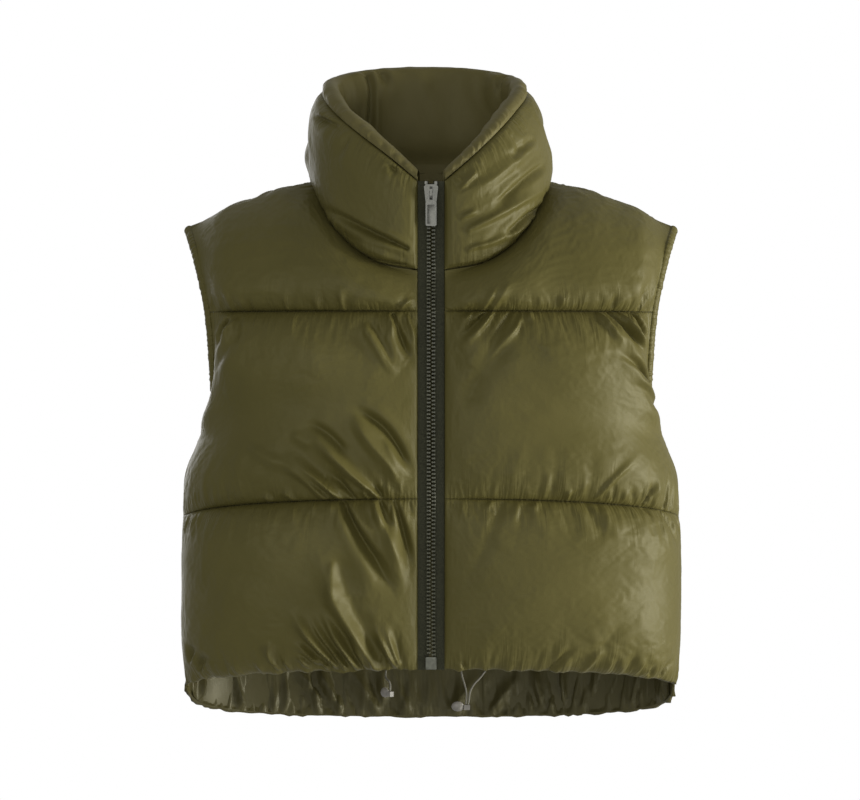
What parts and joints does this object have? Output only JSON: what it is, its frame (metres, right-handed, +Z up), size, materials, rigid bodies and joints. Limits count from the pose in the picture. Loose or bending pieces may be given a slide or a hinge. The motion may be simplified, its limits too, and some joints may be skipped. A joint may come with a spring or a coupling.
{
  "type": "cropped puffer vest",
  "caption": "Sleeveless cropped puffer vest with a tall padded funnel collar, quilted rings of padding, a front zip and a hem drawcord, filled out as if worn.",
  "frame": {"origin": "midway between the two points where the shoulder seams meet the collar, level with them: the wearer's shoulders hold the garment there", "axes": "+Z up, -Y out of the zipped front, +X towards the wearer's left"},
  "size_m": [0.4726, 0.2677, 0.6349],
  "materials": {
    "shell": "softly glossy olive nylon",
    "lining": "olive nylon lining",
    "tape": "woven dark green zip tape",
    "teeth": "moulded dark green zip teeth",
    "metal": "dark bronze enamelled zip slider, pull and box",
    "cord": "grey olive elastic drawcord",
    "lock": "grey moulded cord lock"
  },
  "bodies": {
    "garment": {"front_yoke_left": "shell", "front_yoke_right": "shell", "front_chest_left": "shell", "front_chest_right": "shell", "front_lower_left": "shell", "front_lower_right": "shell", "back_yoke": "shell", "back_chest": "shell", "back_lower": "shell", "back_lining": "lining", "collar_shell": "shell", "collar_facing": "lining", "armhole_binding_left": "shell", "armhole_binding_right": "shell", "zip_tape_left": "tape", "zip_tape_right": "tape", "zip_teeth_left": "teeth", "zip_teeth_right": "teeth", "zip_slider": "metal", "zip_box": "metal", "zip_top_stop_left": "metal", "zip_top_stop_right": "metal", "drawcord_left_inner": "cord", "drawcord_left_outer": "cord", "drawcord_right": "cord", "cord_lock_left": "lock", "cord_lock_right": "lock"},
    "pull_tab": {"zip_pull": "metal"}
  },
  "joints": [
    {"name": "pull_tab_swing", "type": "hinge", "parent": "garment", "child": "pull_tab", "pos_m": [0, -0.10387, -0.0164], "axis": [-1, 0, 0], "range_deg": [0, 160]}
  ]
}
